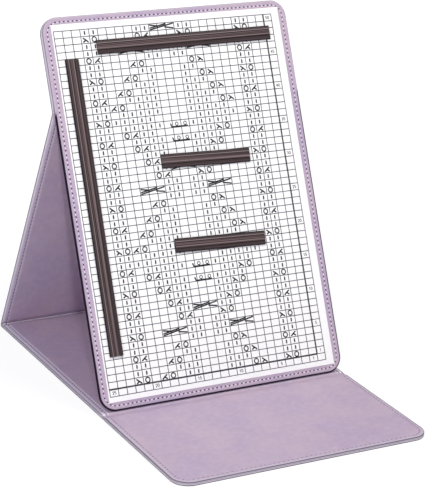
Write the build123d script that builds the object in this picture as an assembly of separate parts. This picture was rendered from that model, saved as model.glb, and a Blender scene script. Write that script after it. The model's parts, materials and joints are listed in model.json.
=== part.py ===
from build123d import *
from dataclasses import dataclass
import math
import os

# A fold-up holder for knitting charts, in millimetres.
# A thin steel-backed board stands in a stitched cover of four stiff panels joined by creases.
# The cover starts on the board's back, runs down as a strut, turns forward as the base under the
# board's foot, and ends as the flap in front. Four ribbed magnet strips hold the chart.
# X runs across the board, Y backwards, Z up. The origin is on the table, in the middle of the
# stand's length and width.

# The chart, and the board's margins round it
sheet_width = 214.4
sheet_height = 313.6
sheet_thickness = 0.2
sheet_side = 7.8
sheet_foot = 7.1
sheet_head = 6.3

# Board and cover, seen from the front
panel_width = sheet_width + 2 * sheet_side
board_height = sheet_height + sheet_foot + sheet_head
board_corner = 14.0
flap_corner = 15.0
flap_length = 134.4

# How the stand is set up. The foot crease lies ahead of the board's foot, so that the flap can
# fold up in front of the board.
board_lean = 65.7
hinge_below_head = 78.2
hinge_height = board_height - hinge_below_head
foot_clearance = 0.25
crease_ahead = 4.6
flap_fold = 100.0

# Board layers
front_layer = 1.4
back_layer = 1.4
steel_thickness = 0.6
steel_inset = 7.5
board_round = 1.0

# Cover layers
outer_layer = 2.05
inner_layer = 2.05
skin = 0.95
stiffener_inset = 6.5
least_corner = 0.5
crease_wall = 3.0
cover_round = 1.2
parting_round = 0.3
fold_clearance = 0.4

# Creases
hinge_depth = 0.5
hinge_setback = 1.8
crease_gap = 0.3
strip_lift = 0.1
strip_gap = 0.05
strip_side_inset = 1.0

# Seams
board_seam_inset = 3.5
cover_seam_inset = 4.0
seam_stop = 5.0
thread_width = 0.6
thread_depth = 0.3
thread_clearance = 0.05

# Magnets hidden in the base and the flap
magnet_diameter = 14.0
base_magnets = 4
base_magnet_span = 170.0
base_magnet_setback = 18.0
flap_magnets = 3
flap_magnet_span = 150.0
flap_magnet_setback = 16.0

# Magnet strips as they lie on the chart: lengths, and places from its edges or its middle
top_strip_length = 164.2
top_strip_right = 13.1
top_strip_below_head = 21.7
side_strip_length = 247.0
side_strip_from_side = 13.1
side_strip_above = 3.4
upper_strip_length = 83.6
upper_strip_right = 15.2
upper_strip_above = 33.1
lower_strip_length = 85.2
lower_strip_right = 16.3
lower_strip_below = 38.7

# Magnet strips, their section
strip_width = 12.0
strip_height = 1.8
strip_wall = 0.9
core_height = 0.8
rib_count = 3
rib_groove = 0.45
rib_groove_width = 0.9
slide_gap = 0.05

# Fits inside the layers
pocket_clearance = 0.1
magnet_clearance = 0.15


@dataclass
class Strip:
    """A magnet strip: its length, its middle right of and above the sheet's middle, its turn."""

    length: float
    right: float
    above: float
    turn: float


strips = {
    "top_strip": Strip(top_strip_length, top_strip_right, sheet_height / 2 - top_strip_below_head, 0.0),
    "side_strip": Strip(side_strip_length, side_strip_from_side - sheet_width / 2, side_strip_above, 89.7),
    "upper_middle_strip": Strip(upper_strip_length, upper_strip_right, upper_strip_above, -2.0),
    "lower_middle_strip": Strip(lower_strip_length, lower_strip_right, -lower_strip_below, -2.3),
}


@dataclass
class Panel:
    """A flat panel between two heights. A corner radius of nothing marks an end at a crease."""

    low: float
    high: float
    low_corner: float = 0.0
    high_corner: float = 0.0


# Thicknesses that follow from the layers
board_thickness = front_layer + back_layer
cover_thickness = outer_layer + inner_layer
strut_inner_layer = inner_layer - fold_clearance
axis_height = cover_thickness / 2

# The board's foot is rounded. A circle about a point in the middle of its thickness holds it all.
foot_half = board_thickness / 2
foot_radius = math.sqrt(2) * (foot_half - board_round) + board_round


def along(angle, length):
    """A step of a length in the plane of Y and Z, at an angle up from +Y."""
    return Vector(0, length * math.cos(math.radians(angle)), length * math.sin(math.radians(angle)))


# Places in the side view, first with the foot's middle above Y = 0
foot = Vector(0, 0, cover_thickness + foot_clearance + foot_radius)
hinge_behind = foot_half + cover_thickness - hinge_depth
top_axis = foot + along(board_lean, hinge_height - foot_half) + along(board_lean - 90, hinge_behind)

# The strut is longer than the board's lower part by the height of the foot above the rear axis.
# So the foot keeps its height, to a tenth of a millimetre, while the stand folds up.
strut_reach = (top_axis - foot).length + foot.Z - axis_height
rear_drop = top_axis.Z - axis_height
rear_axis = Vector(0, top_axis.Y + math.sqrt(strut_reach**2 - rear_drop**2), axis_height)

# The strut's outer face lies just outside the top axis and half a cover's thickness outside the rear one
reach_angle = math.degrees(math.asin(rear_drop / strut_reach))
strut_angle = reach_angle - math.degrees(math.asin((axis_height - hinge_depth) / strut_reach))
strut_face = math.sqrt(strut_reach**2 - (axis_height - hinge_depth) ** 2)


def crease_setback(angle):
    """How far two panels end before their axis, so that their rounded inner edges clear at an angle."""
    half = math.radians(angle / 2)
    above = cover_thickness - axis_height - cover_round
    centre = (cover_round + crease_gap / 2 + above * math.cos(half)) / math.sin(half)
    return centre - cover_round


foot_setback = crease_setback(180 - flap_fold)
bend_length = axis_height / math.tan(math.radians(strut_angle / 2))
rear_setback = max(crease_setback(strut_angle), bend_length) + crease_gap

# The origin moves to the middle of the stand's length
rear_end = rear_axis.Y + axis_height - strip_lift
shift = Vector(0, (flap_length + crease_ahead - rear_end) / 2, 0)
foot = foot + shift
top_axis = top_axis + shift
rear_axis = rear_axis + shift
foot_axis = Vector(0, foot.Y - crease_ahead, axis_height)

# Frames of the board and of the panels. A cover panel's frame has Z = 0 on its outer face.
board_origin = foot - along(board_lean, foot_half) + along(board_lean + 90, foot_half)
board_frame = Plane(origin=board_origin, x_dir=(1, 0, 0), z_dir=along(board_lean + 90, 1))
upper_frame = board_frame.offset(-board_thickness - cover_thickness)
strut_inward = along(180 - strut_angle + 90, 1)
strut_frame = Plane(origin=rear_axis - strut_inward * axis_height, x_dir=(1, 0, 0), z_dir=strut_inward)
base_frame = Plane(origin=(0, foot_axis.Y, 0), x_dir=(1, 0, 0), z_dir=(0, 0, 1))

board_panel = Panel(0, board_height, board_corner, board_corner)
upper_panel = Panel(hinge_height + hinge_setback, board_height, high_corner=board_corner)
strut_panel = Panel(rear_setback, strut_face - hinge_setback)
base_panel = Panel(foot_setback, rear_axis.Y - foot_axis.Y - rear_setback)
flap_panel = Panel(-flap_length, -foot_setback, low_corner=flap_corner)

nodes = {}


def outline(panel, inset=0.0, crease_inset=0.0):
    """The panel's shape, drawn in by one amount at its free edges and by another at its creases."""
    low = panel.low + (inset if panel.low_corner else crease_inset)
    high = panel.high - (inset if panel.high_corner else crease_inset)
    shape = Pos(0, (low + high) / 2) * Rectangle(panel_width - 2 * inset, high - low)
    for corner, end in ((panel.low_corner, 0), (panel.high_corner, -1)):
        if corner:
            tips = shape.vertices().group_by(Axis.Y)[end]
            shape = fillet(tips, max(corner - inset, least_corner))
    return shape


def free_edges(face, panel):
    """The edges of a face that lie on the panel's free sides and ends, not at a crease."""
    creases = []
    if not panel.low_corner:
        creases.append(panel.low)
    if not panel.high_corner:
        creases.append(panel.high)
    return [edge for edge in face.edges() if all(abs(edge.center().Y - y) > parting_round for y in creases)]


def layer(panel, bottom, thickness, face_round, outside):
    """One layer of leather with its turned edges: rounded outside, and nipped in where layers meet.

    A layer that faces up is the lining. It is rounded at its creases too, where it shows in the fold.
    """
    plate = Pos(0, 0, bottom) * extrude(outline(panel), thickness)
    if outside == "below":
        plate = fillet(free_edges(plate.faces().sort_by(Axis.Z)[0], panel), face_round)
        return fillet(free_edges(plate.faces().sort_by(Axis.Z)[-1], panel), parting_round)
    plate = fillet(plate.faces().sort_by(Axis.Z)[-1].edges(), face_round)
    return fillet(free_edges(plate.faces().sort_by(Axis.Z)[0], panel), parting_round)


def seam(panel, inset, width):
    """A line of stitching as a flat shape along the free edges, stopping short of each crease."""
    around = outline(panel, inset - width / 2, seam_stop)
    return around - outline(panel, inset + width / 2, 0)


def seam_lines(panel, inset, width, levels):
    """The seam's shape with the thread's depth, from each of the given levels up."""
    return [Pos(0, 0, level) * extrude(seam(panel, inset, width), thread_depth) for level in levels]


def add(name, shape, frame):
    """Places a piece, or a list of like pieces, in its frame and keeps it under its name."""
    solids = []
    for piece in shape if isinstance(shape, list) else [shape]:
        solids += (frame.location * piece).solids()
    nodes[name] = solids[0] if len(solids) == 1 else Compound(children=solids)


def magnets(count, span, height, bottom, thickness, gap=0.0):
    """A row of round magnets across a panel."""
    step = span / (count - 1)
    places = [(-span / 2 + step * index, height) for index in range(count)]
    disc = Cylinder(magnet_diameter / 2 + gap, thickness, align=(Align.CENTER, Align.CENTER, Align.MIN))
    return [Pos(x, y, bottom) * disc for x, y in places]


def cover_panel(name, panel, frame, inner=inner_layer, magnet_row=None, seam_inside=True):
    """A stiff panel: outer and inner leather layers, the board between them, seam and magnets."""
    thickness = outer_layer + inner
    outer = layer(panel, 0, outer_layer, cover_round, "below")
    lining = layer(panel, outer_layer, inner, cover_round, "above")

    pocket = extrude(outline(panel, stiffener_inset, crease_wall), thickness - 2 * skin)
    pocket = Pos(0, 0, skin) * pocket
    outer = outer - pocket
    lining = lining - pocket

    stiff_shape = outline(panel, stiffener_inset + pocket_clearance, crease_wall + pocket_clearance)
    stiff_height = thickness - 2 * skin - 2 * pocket_clearance
    stiff_bottom = skin + pocket_clearance
    stiffener = Pos(0, 0, stiff_bottom) * extrude(stiff_shape, stiff_height)
    if magnet_row:
        count, span, height = magnet_row
        for hole in magnets(count, span, height, stiff_bottom, stiff_height, magnet_clearance):
            stiffener = stiffener - hole
        discs = magnets(count, span, height, stiff_bottom, stiff_height)
        add(name + "_magnets", discs, frame)

    levels = [0, thickness - thread_depth] if seam_inside else [0]
    groove_width = thread_width + 2 * thread_clearance
    for groove in seam_lines(panel, cover_seam_inset, groove_width, levels):
        outer = outer - groove
        lining = lining - groove
    add(name + "_outer_skin", outer, frame)
    add(name + "_stiffener", stiffener, frame)
    add(name + "_inner_skin", lining, frame)
    add(name + "_seam_thread", seam_lines(panel, cover_seam_inset, thread_width, levels), frame)


def board_pieces():
    """The board: front and back leather, the steel sheet between them, the seam and the chart."""
    front = layer(board_panel, -front_layer, front_layer, board_round, "above")
    back = layer(board_panel, -board_thickness, back_layer, board_round, "below")

    pocket_depth = steel_thickness + pocket_clearance
    pocket = extrude(outline(board_panel, steel_inset), pocket_depth)
    back = back - Pos(0, 0, -front_layer - pocket_depth) * pocket
    steel = extrude(outline(board_panel, steel_inset + pocket_clearance), steel_thickness)
    add("board_steel_sheet", Pos(0, 0, -front_layer - steel_thickness) * steel, board_frame)

    levels = [-thread_depth, -board_thickness]
    groove_width = thread_width + 2 * thread_clearance
    for groove in seam_lines(board_panel, board_seam_inset, groove_width, levels):
        front = front - groove
        back = back - groove
    add("board_front_skin", front, board_frame)
    add("board_back_skin", back, board_frame)
    threads = seam_lines(board_panel, board_seam_inset, thread_width, levels)
    add("board_seam_thread", threads, board_frame)

    sheet = extrude(Rectangle(sheet_width, sheet_height), sheet_thickness)
    add("chart_sheet", Pos(0, sheet_foot + sheet_height / 2, 0) * sheet, board_frame)


def strip_section():
    """The ribbed cover's cross-section: a low block with rounded bands between V grooves."""
    section = Pos(0, strip_height / 2) * Rectangle(strip_width, strip_height)
    section = fillet(section.vertices().group_by(Axis.Y)[-1], strip_height / 4)
    step = strip_width / rib_count
    for index in range(1, rib_count):
        x = -strip_width / 2 + step * index
        half = rib_groove_width / 2
        groove = Polygon(
            (x - half, strip_height), (x, strip_height - rib_groove), (x + half, strip_height), align=None
        )
        section = section - groove
    channel = Rectangle(strip_width - 2 * strip_wall, core_height + pocket_clearance)
    return section - Pos(0, (core_height + pocket_clearance) / 2) * channel


def magnet_strip(name, strip):
    """A ribbed cover with its flexible magnet, laid on the chart at its place and turn."""
    middle = sheet_foot + sheet_height / 2
    place = Pos(strip.right, middle + strip.above, sheet_thickness + slide_gap) * Rot(0, 0, strip.turn)
    profile = Plane.YZ * strip_section()
    cover = extrude(profile, strip.length / 2, both=True)
    core_width = strip_width - 2 * strip_wall - 2 * pocket_clearance
    core = Box(strip.length, core_width, core_height, align=(Align.CENTER, Align.CENTER, Align.MIN))
    add(name + "_cover", place * cover, board_frame)
    add(name + "_magnet", place * core, board_frame)


def crease_strip(name, axis, first, second, reaches, inner_side, outer_side, bend=0.0):
    """A band of leather round a crease, from one panel's end to the other's.

    Its path runs from the first panel to the axis and on along the second panel. Both sides of the
    band are distances to the left of that path, and the corner of each side lies on the bisector.
    """
    before = first * -1
    left_before = Vector(0, -before.Z, before.Y)
    left_after = Vector(0, -second.Z, second.Y)
    corner = (left_before + left_after) * (1 / (1 + left_before.dot(left_after)))
    start = axis + first * (reaches[0] - strip_gap)
    end = axis + second * (reaches[1] - strip_gap)
    points = [
        start + left_before * outer_side,
        axis + corner * outer_side,
        end + left_after * outer_side,
        end + left_after * inner_side,
        axis + corner * inner_side,
        start + left_before * inner_side,
    ]
    profile = make_face(Polyline(points, close=True))
    width = panel_width - 2 * strip_side_inset
    band = extrude(profile, width / 2, both=True, dir=(1, 0, 0))
    if bend:
        for point, radius in ((points[1], bend), (points[4], bend - skin)):
            if radius > strip_gap:
                ridge = band.edges().filter_by(Axis.X).sort_by_distance(point)[0]
                band = fillet(ridge, radius)
    add(name, band, Plane.XY)


def creases():
    """The leather bands of the three creases. Each crease has an outer and an inner band."""
    down_strut = along(-strut_angle, 1)
    up_strut = along(180 - strut_angle, 1)
    forward = Vector(0, -1, 0)
    backward = Vector(0, 1, 0)
    outside = -(axis_height - strip_lift)
    between = outside + skin + strip_gap

    reaches = (foot_setback, foot_setback)
    crease_strip("foot_crease_outer_strip", foot_axis, forward, backward, reaches, outside + skin, outside)
    crease_strip("foot_crease_inner_strip", foot_axis, forward, backward, reaches, between + skin, between)

    reaches = (rear_setback, rear_setback)
    bend = -outside
    crease_strip(
        "rear_crease_outer_strip", rear_axis, forward, up_strut, reaches, outside + skin, outside, bend
    )
    bend = -between
    crease_strip(
        "rear_crease_inner_strip", rear_axis, forward, up_strut, reaches, -strip_gap, between, bend
    )

    up_board = along(board_lean, 1)
    reaches = (hinge_setback, hinge_setback)
    outside = -hinge_depth
    between = outside + skin + strip_gap
    crease_strip("top_hinge_outer_strip", top_axis, down_strut, up_board, reaches, outside + skin, outside)
    crease_strip("top_hinge_inner_strip", top_axis, down_strut, up_board, reaches, between + skin, between)


board_pieces()
cover_panel("upper_cover", upper_panel, upper_frame, seam_inside=False)
cover_panel("strut", strut_panel, strut_frame, inner=strut_inner_layer)
base_row = (base_magnets, base_magnet_span, base_panel.low + base_magnet_setback)
cover_panel("base", base_panel, base_frame, magnet_row=base_row)
flap_row = (flap_magnets, flap_magnet_span, flap_panel.low + flap_magnet_setback)
cover_panel("flap", flap_panel, base_frame, magnet_row=flap_row)
creases()
for strip_name, strip in strips.items():
    magnet_strip(strip_name, strip)

os.makedirs("parts", exist_ok=True)
for node, shape in nodes.items():
    export_step(shape, f"parts/{node}.step")

print("foot circle", foot, "radius", round(foot_radius, 3))
print("foot crease axis", foot_axis, "setback", round(foot_setback, 3))
print("rear crease axis", rear_axis, "setback", round(rear_setback, 3))
print("top hinge axis", top_axis, "strut reach", round(strut_reach, 3))
print("board origin", board_origin, "strut angle", round(strut_angle, 3))
fold_travel = (180 - board_lean - strut_angle) / 2
print("planes of board and strut meet after", round(fold_travel, 3), "degrees")
board_reach = (top_axis - foot).length
reach_lean = math.degrees(math.asin((top_axis.Z - foot.Z) / board_reach))
for turn in range(0, int(fold_travel) + 1, 4):
    lift = strut_reach * math.sin(math.radians(reach_angle + turn))
    drop = board_reach * math.sin(math.radians(reach_lean + turn))
    height = axis_height + lift - drop - foot_radius - cover_thickness
    print("foot above the base after", turn, "degrees:", round(height, 3))
print("stand length", round(flap_length + rear_axis.Y - foot_axis.Y + axis_height - strip_lift, 3))
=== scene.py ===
# %% [markdown]
# # A fold-up holder for knitting charts
#
# A thin board with a steel sheet in it leans in a stitched leather cover. The cover has four stiff
# panels: the upper cover on the board's back, the strut behind it, the base below and the flap in
# front. Slim ribbed magnet strips hold a paper chart on the board.
#
# The imported model gives every size and place. This lesson dresses it: the panels get leather with
# turned edges and real stitches, the creases get bands of leather drawn round each fold, and the
# chart gets its print.

# %% Open the frame
import json
import math
from dataclasses import dataclass, replace

import bmesh
import bpy
import numpy as np
from mathutils import Matrix, Vector


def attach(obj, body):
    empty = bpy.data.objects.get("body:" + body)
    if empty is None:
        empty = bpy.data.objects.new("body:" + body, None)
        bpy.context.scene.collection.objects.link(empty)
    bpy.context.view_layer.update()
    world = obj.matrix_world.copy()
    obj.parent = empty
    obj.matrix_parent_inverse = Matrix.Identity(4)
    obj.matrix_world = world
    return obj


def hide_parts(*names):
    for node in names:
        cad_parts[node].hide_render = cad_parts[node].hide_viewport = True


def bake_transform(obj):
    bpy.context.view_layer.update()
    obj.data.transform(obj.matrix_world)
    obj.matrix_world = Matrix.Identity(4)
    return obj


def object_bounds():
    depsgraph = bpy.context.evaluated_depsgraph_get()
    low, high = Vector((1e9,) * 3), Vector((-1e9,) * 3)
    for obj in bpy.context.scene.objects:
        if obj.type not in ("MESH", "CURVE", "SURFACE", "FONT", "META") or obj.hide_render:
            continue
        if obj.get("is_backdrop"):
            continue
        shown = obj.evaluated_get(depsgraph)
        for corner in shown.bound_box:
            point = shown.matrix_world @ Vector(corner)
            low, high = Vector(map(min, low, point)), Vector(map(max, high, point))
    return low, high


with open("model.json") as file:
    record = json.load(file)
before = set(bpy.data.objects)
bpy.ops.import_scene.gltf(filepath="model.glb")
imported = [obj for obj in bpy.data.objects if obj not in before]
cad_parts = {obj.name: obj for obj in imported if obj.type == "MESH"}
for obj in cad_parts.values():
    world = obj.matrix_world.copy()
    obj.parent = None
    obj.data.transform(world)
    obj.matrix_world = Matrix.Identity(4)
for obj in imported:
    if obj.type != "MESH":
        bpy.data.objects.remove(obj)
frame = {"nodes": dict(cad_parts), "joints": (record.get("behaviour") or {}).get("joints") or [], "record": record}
cad_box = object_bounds()

# %% [markdown]
# ## Sizes come from the frame
#
# A part is easiest to dress in its own directions. A flat panel has three: across, along itself and
# up from its outer face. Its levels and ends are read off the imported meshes. Only corners, seams and
# walls are given as numbers, because the frame doesn't name them.

# %% Read points, joints and panels from the frame
MM = 0.001
across = np.array([1.0, 0.0, 0.0])
upright = np.array([0.0, 0.0, 1.0])
joints = {joint["name"]: joint for joint in frame["joints"]}


def unit(ways):
    """Directions of length 1."""
    return ways / np.linalg.norm(ways, axis=-1, keepdims=True)


def left_of(ways):
    """Flat directions turned a quarter to the left."""
    return np.stack([-ways[..., 1], ways[..., 0]], -1)


def points_of(*nodes):
    """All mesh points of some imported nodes, as an array with three numbers a row."""
    found = []
    for node in nodes:
        mesh = frame["nodes"][node].data
        flat = np.empty(3 * len(mesh.vertices))
        mesh.vertices.foreach_get("co", flat)
        found.append(flat.reshape(-1, 3))
    return np.vstack(found)


@dataclass
class Panel:
    """A flat panel: its directions, its two ends, its levels, and a corner radius at a free end."""

    along: np.ndarray
    up: np.ndarray
    low: float
    high: float
    outside: float
    parting: float
    inside: float
    low_corner: float
    high_corner: float

    def place(self, x, y, level):
        """Points from how far across, how far along and how high they lie."""
        return x[..., None] * across + y[..., None] * self.along + level[..., None] * self.up

    def thickness(self, lining):
        """How thick the lining is, or else the outer leather."""
        return self.inside - self.parting if lining else self.parting - self.outside


def measured_panel(name, up, low_corner=0.0, high_corner=0.0, faces=("outer", "inner")):
    """A panel with the ends and levels of its two packed skins."""
    outer, inner = (points_of(name + "_" + face + "_skin") for face in faces)
    along = np.cross(up, across)
    ends = np.vstack([outer, inner]) @ along
    levels = (outer @ up).min(), (inner @ up).min(), (inner @ up).max()
    return Panel(along, up, ends.min(), ends.max(), *levels, low_corner, high_corner)


board_corner = 14 * MM
flap_corner = 15 * MM
board_up = unit(np.array(joints["top_strip_slide"]["axis"]))
board_front = np.cross(across, board_up)
largest_face = max(frame["nodes"]["strut_stiffener"].data.polygons, key=lambda face: face.area)
strut_inward = np.array(largest_face.normal)
strut_inward *= -np.sign(strut_inward[1])

board = measured_panel("board", board_front, board_corner, board_corner, ("back", "front"))
upper_cover = measured_panel("upper_cover", board_front, high_corner=board_corner)
strut = measured_panel("strut", strut_inward)
base = measured_panel("base", upright)
flap = measured_panel("flap", upright, low_corner=flap_corner)
half_width = points_of("base_outer_skin")[:, 0].max()
print("panels are", round(2 * half_width / MM, 1), "mm wide")
print("the strut is", round((strut.high - strut.low) / MM, 1), "mm long")

# %% [markdown]
# ## Colours and finishes
#
# Coated leather is a soft thing to fake: its colour drifts a little from place to place, it has a
# fine pebbled grain that only a glancing light shows, and its turned edges are greyer than its faces.
# Some light and shade is painted too: highlights on rims, seam lips and fold crests, and shade in grooves and
# folds.
# Each of these is one cheap noise or attribute, so the finish is built from nodes and needs no image.
# A pattern reads Object coordinates, so it stays put when a joint moves the panel.

# %% Helpers for materials
def colour(red, green, blue):
    """A colour as the eye names it, 0 to 255, turned into the linear values that light adds up in."""
    share = np.array([red, green, blue]) / 255
    linear = np.where(share <= 0.04045, share / 12.92, ((share + 0.055) / 1.055) ** 2.4)
    return (*linear.tolist(), 1.0)


class Finish:
    """A new material and short ways to add and join its nodes."""

    def __init__(self, name, base, roughness, metallic=0.0):
        self.material = bpy.data.materials.new(name)
        self.material.use_nodes = True
        self.tree = self.material.node_tree
        self.shader = self.tree.nodes["Principled BSDF"]
        self.shader.inputs["Base Color"].default_value = base
        self.shader.inputs["Roughness"].default_value = roughness
        self.shader.inputs["Metallic"].default_value = metallic

    def node(self, kind, **settings):
        """A new node. A setting that names an input fills that input, and any other is a property."""
        made = self.tree.nodes.new("ShaderNode" + kind)
        for key, value in settings.items():
            label = key.replace("_", " ").title()
            if label in made.inputs:
                made.inputs[label].default_value = value
            else:
                setattr(made, key, value)
        return made

    def join(self, source, target):
        self.tree.links.new(source, target)

    def tint(self, source):
        """The source becomes the base colour."""
        self.join(source, self.shader.inputs["Base Color"])

    def mark(self, attribute):
        """How strong an attribute of the mesh is at a point."""
        return self.node("Attribute", attribute_name=attribute).outputs["Fac"]

    def place(self):
        """Where a point lies on the piece, in metres."""
        return self.node("TexCoord").outputs["Object"]

    def noise(self, size, detail=3.0, distortion=0.0):
        """Cloudy noise with features of about a size in metres, from 0 to 1."""
        clouds = self.node("TexNoise", scale=1 / size, detail=detail, distortion=distortion)
        self.join(self.place(), clouds.inputs["Vector"])
        return clouds.outputs["Fac"]

    def spread(self, source, low, high, to_low=0.0, to_high=1.0):
        """The source's range from low to high, stretched to another range."""
        mapped = self.node("MapRange", from_min=low, from_max=high, to_min=to_low, to_max=to_high)
        self.join(source, mapped.inputs["Value"])
        return mapped.outputs["Result"]

    def mix(self, share, first, second):
        """One colour or colour source turning into another as the share grows."""
        mixed = self.node("Mix", data_type="RGBA")
        self.join(share, mixed.inputs["Factor"])
        for side, source in (("A", first), ("B", second)):
            socket = [s for s in mixed.inputs if s.name == side and s.type == "RGBA"][0]
            if isinstance(source, tuple):
                socket.default_value = source
            else:
                self.join(source, socket)
        return [s for s in mixed.outputs if s.type == "RGBA"][0]

    def bump(self, height, distance):
        """Relief of a height source, where 1 is as high as the distance in metres."""
        relief = self.node("Bump", distance=distance, strength=1.0)
        self.join(height, relief.inputs["Height"])
        previous = self.shader.inputs["Normal"].links
        if previous:
            self.join(previous[0].from_socket, relief.inputs["Normal"])
        self.join(relief.outputs["Normal"], self.shader.inputs["Normal"])


# %% [markdown]
# ### Leather
#
# A cool and a warm lilac are mixed in clouds of a few centimetres. Three attributes of the skins then
# mark where the tone changes. "edge" marks where the leather turns over: greyer from wear, and paler
# as a painted highlight on the rim. A second marks a painted highlight on the lips of a seam and the
# crest of a fold. A third marks the dark tone: dye on the cut edges, and painted shade in the seam's
# groove, in a fold's valley, on the right edges, on the board's edges below the hinge and faintly over
# the whole board. Small cells give the grain, and slow noise in the roughness breaks up the sheen.

# %% The leather finish
def leather_finish(name, cool, warm, worn_and_lit, deep, pale):
    """Coated leather in two close tones, greyer where turned and worn, with painted highlights, and dark with dye
    and painted shade.
    """
    leather = Finish(name, cool, 0.52)
    leather.shader.inputs["Specular IOR Level"].default_value = 0.35
    clouds = leather.spread(leather.noise(0.045, 4.0, 0.6), 0.38, 0.64)
    face = leather.mix(clouds, cool, warm)
    flecks = leather.spread(leather.noise(0.005, 3.0), 0.42, 0.72, 0.0, 0.34)
    face = leather.mix(flecks, face, worn_and_lit)
    for attribute, tone in (("edge", worn_and_lit), ("pale", pale), ("deep", deep)):
        marked = leather.mark(attribute)
        face = leather.mix(marked, face, tone)
    leather.tint(face)
    # The last mark is the dye and painted shade, which is dull.
    dullness = leather.node("Math", operation="MAXIMUM")
    leather.join(leather.spread(leather.noise(0.02), 0.3, 0.7, 0.46, 0.6), dullness.inputs[0])
    leather.join(marked, dullness.inputs[1])
    leather.join(dullness.outputs["Value"], leather.shader.inputs["Roughness"])
    grain = leather.node("TexVoronoi", scale=1 / 0.0009, feature="SMOOTH_F1")
    leather.join(leather.place(), grain.inputs["Vector"])
    leather.bump(grain.outputs["Distance"], 0.00004)
    leather.bump(leather.noise(0.012, 2.0), 0.0002)
    return leather.material


# The worn tone also serves as a painted highlight on rims, the pale tone is a painted highlight, and the dark tone
# is dye and painted shade.
lilac_leather = leather_finish(
    "lilac_leather",
    cool=colour(187, 168, 190),
    warm=colour(197, 176, 191),
    worn_and_lit=colour(206, 198, 207),
    deep=colour(24, 10, 32),
    pale=colour(255, 246, 255),
)
print("the leather has", len(lilac_leather.node_tree.nodes), "nodes")

# %% [markdown]
# ### Thread, paper, ink, plastic and what is inside
#
# The thread is paler than the leather, and its twist is a wave along the stitch's own UV map. The
# paper is almost white with the faintest tooth. The strips are dark brown with lines along them from
# the die that they were pressed through, with painted shade in their grooves and at their long edges
# and painted highlights beside the grooves. The needle holes are dark as painted shade for their depth.

# %% The other finishes
def thread_finish(name, shade, twisted):
    """Thread in two tones that wind round it."""
    thread = Finish(name, shade, 0.6)
    twist = thread.node("TexWave", scale=3.0, bands_direction="DIAGONAL")
    thread.join(thread.node("UVMap").outputs["UV"], twist.inputs["Vector"])
    thread.tint(thread.mix(twist.outputs["Fac"], twisted, shade))
    thread.bump(twist.outputs["Fac"], 0.00008)
    return thread.material


def paper_finish():
    """Paper that is almost white, with a faint tooth."""
    paper = Finish("chart_paper", colour(250, 250, 250), 0.75)
    paper.tint(paper.mix(paper.noise(0.03), colour(253, 253, 247), colour(255, 255, 250)))
    paper.bump(paper.noise(0.0006, 2.0), 0.00001)
    return paper.material


def ink_finish(name, shade):
    """Ink that is a little lighter in small patches."""
    ink = Finish(name, shade, 0.6)
    lighter = tuple(min(1.0, part * 1.2 + 0.003) for part in shade[:3]) + (1.0,)
    ink.tint(ink.mix(ink.spread(ink.noise(0.002), 0.3, 0.8), shade, lighter))
    return ink.material


def strip_finish():
    """Dark brown pressed plastic with fine lines along each strip and a dusty bloom, painted shade in the grooves
    and at the edges, and painted highlights beside the grooves.
    """
    plastic = Finish("strip_plastic", colour(66, 54, 54), 0.4)
    plastic.shader.inputs["Specular IOR Level"].default_value = 0.2
    drawn = plastic.node("TexNoise", scale=1.0, detail=2.0)
    plastic.join(plastic.node("UVMap").outputs["UV"], drawn.inputs["Vector"])
    lines = plastic.spread(drawn.outputs["Fac"], 0.35, 0.65)
    tone = plastic.mix(lines, colour(46, 34, 34), colour(112, 94, 92))
    shades = {"side": colour(58, 49, 49), "rubbed": colour(172, 156, 154), "groove": colour(20, 14, 15)}
    for attribute, shade in shades.items():
        tone = plastic.mix(plastic.mark(attribute), tone, shade)
    plastic.tint(tone)
    plastic.bump(drawn.outputs["Fac"], 0.00006)
    plastic.join(plastic.spread(plastic.noise(0.01), 0.3, 0.7, 0.36, 0.5), plastic.shader.inputs["Roughness"])
    return plastic.material


def plain_finish(name, shade, other, roughness, metallic=0.0):
    """A finish for what is inside and for holes, whose dark tones are painted shade: two close tones and a little
    relief.
    """
    finish = Finish(name, shade, roughness, metallic)
    grain = finish.noise(0.004)
    finish.tint(finish.mix(finish.spread(grain, 0.3, 0.7), shade, other))
    finish.bump(grain, 0.00003)
    return finish.material


# %% Make the finishes and dress what is inside
pale_thread = thread_finish("pale_thread", colour(255, 252, 255), colour(232, 224, 236))
lilac_thread = thread_finish("lilac_thread", colour(206, 190, 208), colour(186, 168, 190))
# The holes' dark tones are painted shade for the depth of the needle holes.
needle_hole_shade = plain_finish("needle_hole_shade", colour(28, 12, 36), colour(44, 26, 52), 0.9)
soft_hole_shade = plain_finish("soft_hole_shade", colour(98, 78, 106), colour(110, 90, 118), 0.9)
chart_paper = paper_finish()
line_ink = ink_finish("line_ink", colour(48, 48, 50))
bold_ink = ink_finish("bold_ink", colour(6, 6, 8))
strip_plastic = strip_finish()
inner_finishes = {
    "strip_magnet": plain_finish("strip_rubber", colour(40, 37, 37), colour(52, 48, 48), 0.7),
    "greyboard": plain_finish("grey_board", colour(140, 134, 126), colour(156, 150, 142), 0.9),
    "steel_sheet": plain_finish("steel_plate", colour(170, 172, 176), colour(186, 188, 192), 0.35, 1.0),
    "magnet_disc": plain_finish("nickel_plate", colour(196, 196, 200), colour(208, 208, 210), 0.2, 1.0),
    "paper": chart_paper,
}
for part in frame["record"]["subparts"]:
    if part["material_slot"] in inner_finishes:
        mesh = frame["nodes"][part["node"]].data
        mesh.materials.clear()
        mesh.materials.append(inner_finishes[part["material_slot"]])
        print(part["node"], "gets", mesh.materials[0].name)

# %% [markdown]
# ## Surfaces as grids
#
# Every new piece is worked out as whole arrays of points. Most are grids, and each cell of a grid is
# one face. Where two grids meet, a wall joins their borders and points in the same place are welded, so
# the piece is a closed shell with its faces outwards.

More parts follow.
